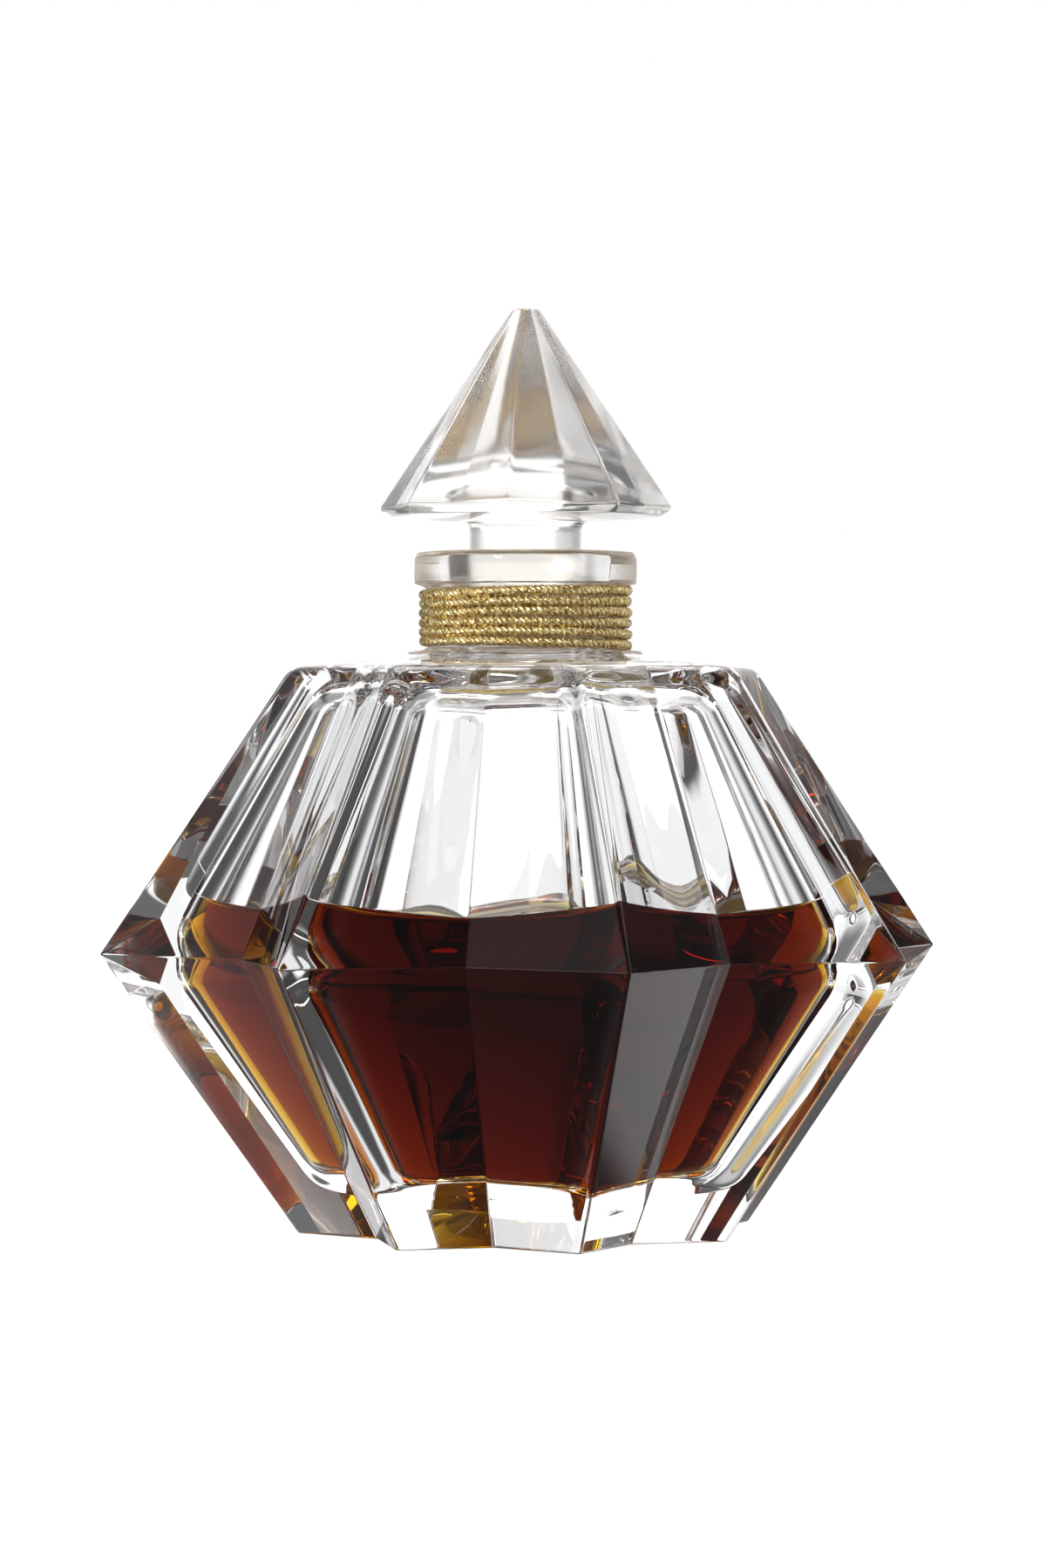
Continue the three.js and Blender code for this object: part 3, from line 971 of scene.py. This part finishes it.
def panels(tree, share, stops):
    """Soft panels of light round the flacon: stops gives the brightness at each bearing."""
    ramp = add(tree, "ShaderNodeValToRGB")
    ramp.color_ramp.interpolation = "EASE"
    elements = ramp.color_ramp.elements
    while len(elements) < len(stops):
        elements.new(0.5)
    for element, (bearing, level) in zip(elements, stops):
        element.position = bearing / 360 + 0.5
        element.color = (level, level, level * COOLNESS, 1)
    tree.links.new(share, ramp.inputs["Fac"])
    return ramp.outputs["Color"]


def blend(tree, amount, low, high):
    mix = add(tree, "ShaderNodeMix", data_type="RGBA")
    tree.links.new(amount, mix.inputs["Factor"])
    tree.links.new(low, mix.inputs["A"])
    tree.links.new(high, mix.inputs["B"])
    return mix.outputs["Result"]


def step_between(tree, value, limits):
    """0 below the first limit and 1 above the second, with a smooth step between them."""
    step = add(tree, "ShaderNodeMapRange", interpolation_type="SMOOTHSTEP")
    step.inputs["From Min"].default_value = limits[0]
    step.inputs["From Max"].default_value = limits[1]
    tree.links.new(value, step.inputs["Value"])
    return step.outputs["Result"]


def seen_and_lit(tree, seen, lit, output):
    """Gives camera rays one shader and all other rays another."""
    rays = add(tree, "ShaderNodeLightPath")
    both = add(tree, "ShaderNodeMixShader")
    tree.links.new(rays.outputs["Is Camera Ray"], both.inputs[0])
    tree.links.new(lit, both.inputs[1])
    tree.links.new(seen, both.inputs[2])
    tree.links.new(both.outputs["Shader"], output.inputs["Surface"])


def floor_paper():
    """Pale paper to the camera. To all other rays it glows, with gaps for dark cards; close to the
    flacon that glow is darker, a painted shadow of the flacon.
    """
    material, tree, output = new_material("pale_floor")
    place = add(tree, "ShaderNodeTexCoord")
    parts = add(tree, "ShaderNodeSeparateXYZ")
    length = add(tree, "ShaderNodeVectorMath", operation="LENGTH")
    tree.links.new(place.outputs["Object"], parts.inputs["Vector"])
    tree.links.new(place.outputs["Object"], length.inputs[0])
    share = turn_share(tree, parts.outputs["X"], parts.outputs["Y"])
    # Painted shadow: within FAR_FROM of the axis the glow fades to the darker near panels.
    far = step_between(tree, length.outputs["Value"], FAR_FROM)
    level = blend(tree, far, panels(tree, share, SHADOWED_NEAR_PANELS), panels(tree, share, FLOOR_PANELS))
    glow = add(tree, "ShaderNodeEmission")
    tree.links.new(level, glow.inputs["Color"])
    paper = principled(tree, Base_Color=(0.6, 0.6, 0.6, 1), Roughness=0.7,
                       Emission_Color=(1, 1, 1, 1), Emission_Strength=0.86)
    seen_and_lit(tree, paper.outputs["BSDF"], glow.outputs["Emission"], output)
    return material


def make_floor():
    """A flat round floor that runs far past the edges of the picture."""
    points = [Vector((0, 0, FLOOR_TOP))]
    for radius in FLOOR_RADII:
        for k in range(FLOOR_SIDES):
            edge = polar(radius / MM, 2 * math.pi * k / FLOOR_SIDES)
            points.append(Vector((edge.x, edge.y, FLOOR_TOP)))
    faces = []
    for k in range(FLOOR_SIDES):
        following = (k + 1) % FLOOR_SIDES
        faces.append((0, 1 + k, 1 + following))
        for band in range(len(FLOOR_RADII) - 1):
            low = 1 + band * FLOOR_SIDES
            high = low + FLOOR_SIDES
            faces.append((low + k, high + k, high + following, low + following))
    make_object("floor", points, faces, [floor_paper()])


def make_world():
    """White to the camera. Around the flacon it has a bright wall behind, soft panels at both
    sides, dark cards between them, a dim room in front and a pale ceiling."""
    world = bpy.data.worlds.new("studio")
    bpy.context.scene.world = world
    world.use_nodes = True
    tree = world.node_tree
    tree.nodes.clear()
    output = add(tree, "ShaderNodeOutputWorld")
    place = add(tree, "ShaderNodeTexCoord")
    parts = add(tree, "ShaderNodeSeparateXYZ")
    tree.links.new(place.outputs["Generated"], parts.inputs["Vector"])
    share = turn_share(tree, parts.outputs["X"], parts.outputs["Y"])
    height = parts.outputs["Z"]
    raised = step_between(tree, height, RAISED_FROM)
    above = step_between(tree, height, ABOVE_FROM)
    strip = maths(tree, "SUBTRACT", step_between(tree, height, STRIP_RISE),
                  step_between(tree, height, STRIP_FALL))
    level = panels(tree, share, LEVEL_PANELS)
    level = blend(tree, raised, level, panels(tree, share, RAISED_PANELS))
    level = blend(tree, strip, level, panels(tree, share, STRIP_PANELS))
    level = blend(tree, above, level, panels(tree, share, ABOVE_PANELS))
    around = add(tree, "ShaderNodeBackground")
    tree.links.new(level, around.inputs["Color"])
    seen = add(tree, "ShaderNodeBackground", Color=(1, 1, 1, 1))
    seen_and_lit(tree, seen.outputs["Background"], around.outputs["Background"], output)


def make_lamp(name, place, size, power):
    """A soft round lamp that faces the flacon's foot and isn't seen itself."""
    data = bpy.data.lights.new(name, "AREA")
    data.shape = "DISK"
    data.size = size
    data.energy = power
    lamp = bpy.data.objects.new(name, data)
    lamp.location = place
    lamp.rotation_mode = "QUATERNION"
    lamp.rotation_quaternion = (-Vector(place)).to_track_quat("-Z", "Y")
    lamp.visible_camera = False
    bpy.context.collection.objects.link(lamp)


def set_film():
    """Plain colours, and enough bounces for light to cross the thick glass."""
    scene = bpy.context.scene
    scene.view_settings.view_transform = "Standard"
    scene.cycles.denoising_input_passes = "RGB"
    scene.cycles.max_bounces = 32
    scene.cycles.min_light_bounces = 14
    scene.cycles.transmission_bounces = 32
    scene.cycles.glossy_bounces = 16
    scene.cycles.transparent_max_bounces = 32


make_camera()
make_glass_body()
make_perfume()
make_stopper()
make_membrane()
make_winding()
make_knot()
make_floor()
make_world()
make_lamp("top_light", place=(0.1, 0.25, 0.7), size=0.5, power=3.0)
make_lamp("front_light", place=(-0.46, -0.52, 0.22), size=0.1, power=3.2)
set_film()
